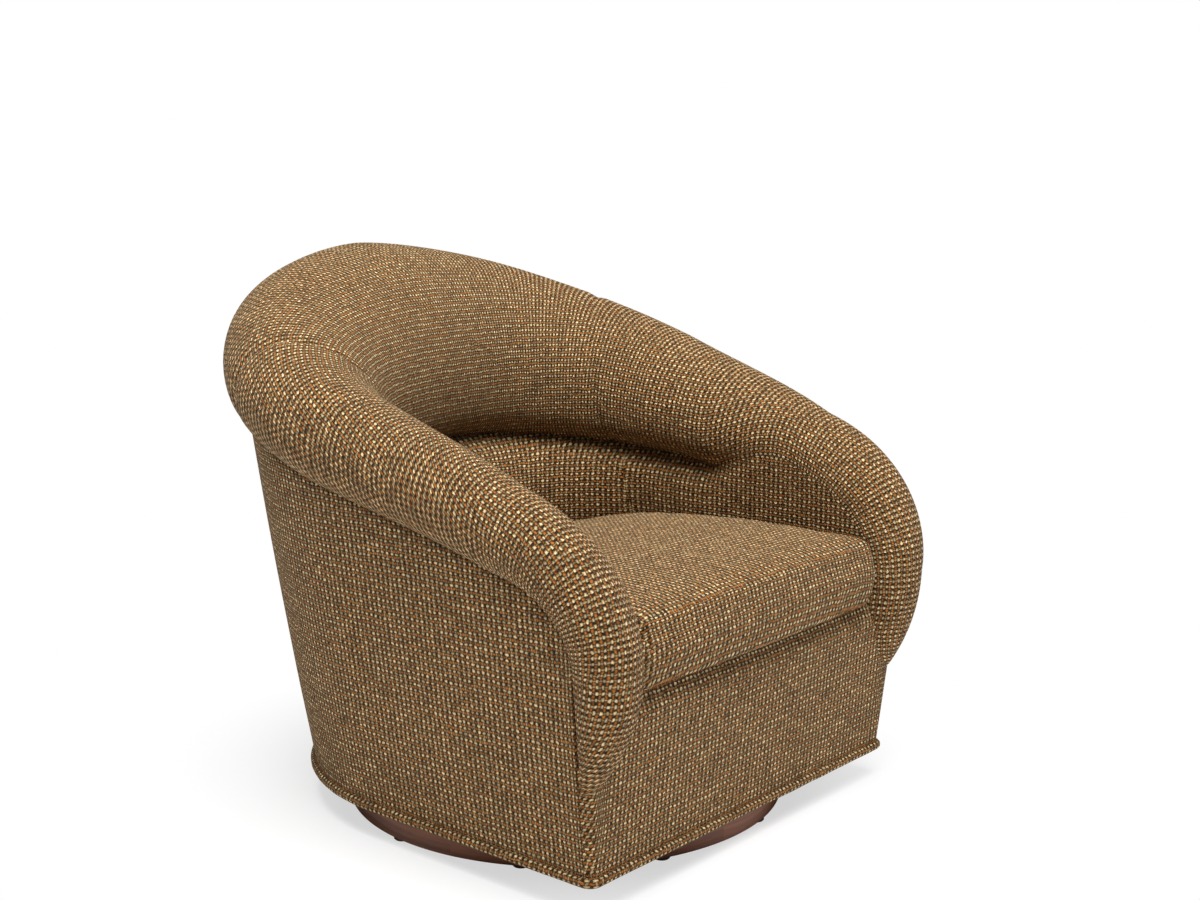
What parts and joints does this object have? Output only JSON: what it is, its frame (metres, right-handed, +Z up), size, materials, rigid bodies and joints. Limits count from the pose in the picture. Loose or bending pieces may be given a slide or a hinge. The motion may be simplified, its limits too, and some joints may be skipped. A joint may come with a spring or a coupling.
{
  "type": "swivel chair",
  "caption": "Upholstered barrel armchair with a padded roll along its arms and back and a loose crowned seat cushion, turning on a low round wooden plinth.",
  "frame": {"origin": "on the floor, on the swivel axis in the middle of the plinth", "axes": "+Z up along the swivel axis, the seat opens towards -Y, +X to the right as seen from the front"},
  "size_m": [0.864, 0.9122, 0.793],
  "materials": {
    "tweed": "chunky basket weave, matt",
    "walnut": "satin lacquer",
    "frame_wood": "planed, unfinished",
    "steel": "zinc plated",
    "nylon": "moulded, matt",
    "lining_cloth": "bonded black cloth"
  },
  "bodies": {
    "base": {"plinth_stave_1": "walnut", "plinth_stave_2": "walnut", "plinth_stave_3": "walnut", "plinth_stave_4": "walnut", "plinth_stave_5": "walnut", "plinth_stave_6": "walnut", "plinth_stave_7": "walnut", "plinth_stave_8": "walnut", "plinth_stave_9": "walnut", "plinth_stave_10": "walnut", "floor_glides": "nylon", "plinth_glue_blocks": "frame_wood", "plinth_board": "frame_wood", "swivel_lower_plate": "steel", "lower_plate_screws": "steel", "king_pin": "steel", "king_pin_circlip": "steel", "king_pin_washer": "nylon"},
    "bearing_cage": {"ball_cage": "nylon", "bearing_balls": "steel"},
    "seat": {"swivel_upper_plate": "steel", "upper_plate_bolts": "steel", "dust_cover": "lining_cloth", "spring_clips": "steel", "seat_springs": "steel", "seat_deck": "lining_cloth", "front_edge_foam": "lining_cloth", "base_rail_front": "frame_wood", "base_rail_rear": "frame_wood", "base_rail_left": "frame_wood", "base_rail_right": "frame_wood", "cross_rail_front": "frame_wood", "cross_rail_rear": "frame_wood", "corner_blocks": "frame_wood", "back_top_rail": "frame_wood", "arm_top_rail_left": "frame_wood", "arm_top_rail_right": "frame_wood", "front_post_left": "frame_wood", "front_post_right": "frame_wood", "back_post_left": "frame_wood", "back_post_right": "frame_wood", "seat_rail_front": "frame_wood", "seat_rail_rear": "frame_wood", "seat_rail_left": "frame_wood", "seat_rail_right": "frame_wood", "inner_back_board": "frame_wood", "back_roll": "tweed", "arm_roll_left": "tweed", "arm_roll_right": "tweed", "lumbar_pad": "tweed", "inside_arm_pad_left": "tweed", "inside_arm_pad_right": "tweed", "outside_back_panel": "tweed", "outside_panel_left": "tweed", "outside_panel_right": "tweed", "front_panel": "tweed", "base_welt": "tweed"},
    "cushion": {"seat_cushion": "tweed"}
  },
  "joints": [
    {"name": "seat_swivel", "type": "hinge", "parent": "base", "child": "seat", "pos_m": [0, 0, 0.052], "axis": [0, 0, 1], "continuous": true},
    {"name": "cage_turn", "type": "hinge", "parent": "base", "child": "bearing_cage", "pos_m": [0, 0, 0.052], "axis": [0, 0, 1], "continuous": true},
    {"name": "cushion_pull", "type": "slide", "parent": "seat", "child": "cushion", "axis": [0, -1, 0], "range_m": [0, 0.35]}
  ],
  "couplings": [
    {"joint": "cage_turn", "follows": "seat_swivel", "ratio": 0.5}
  ]
}
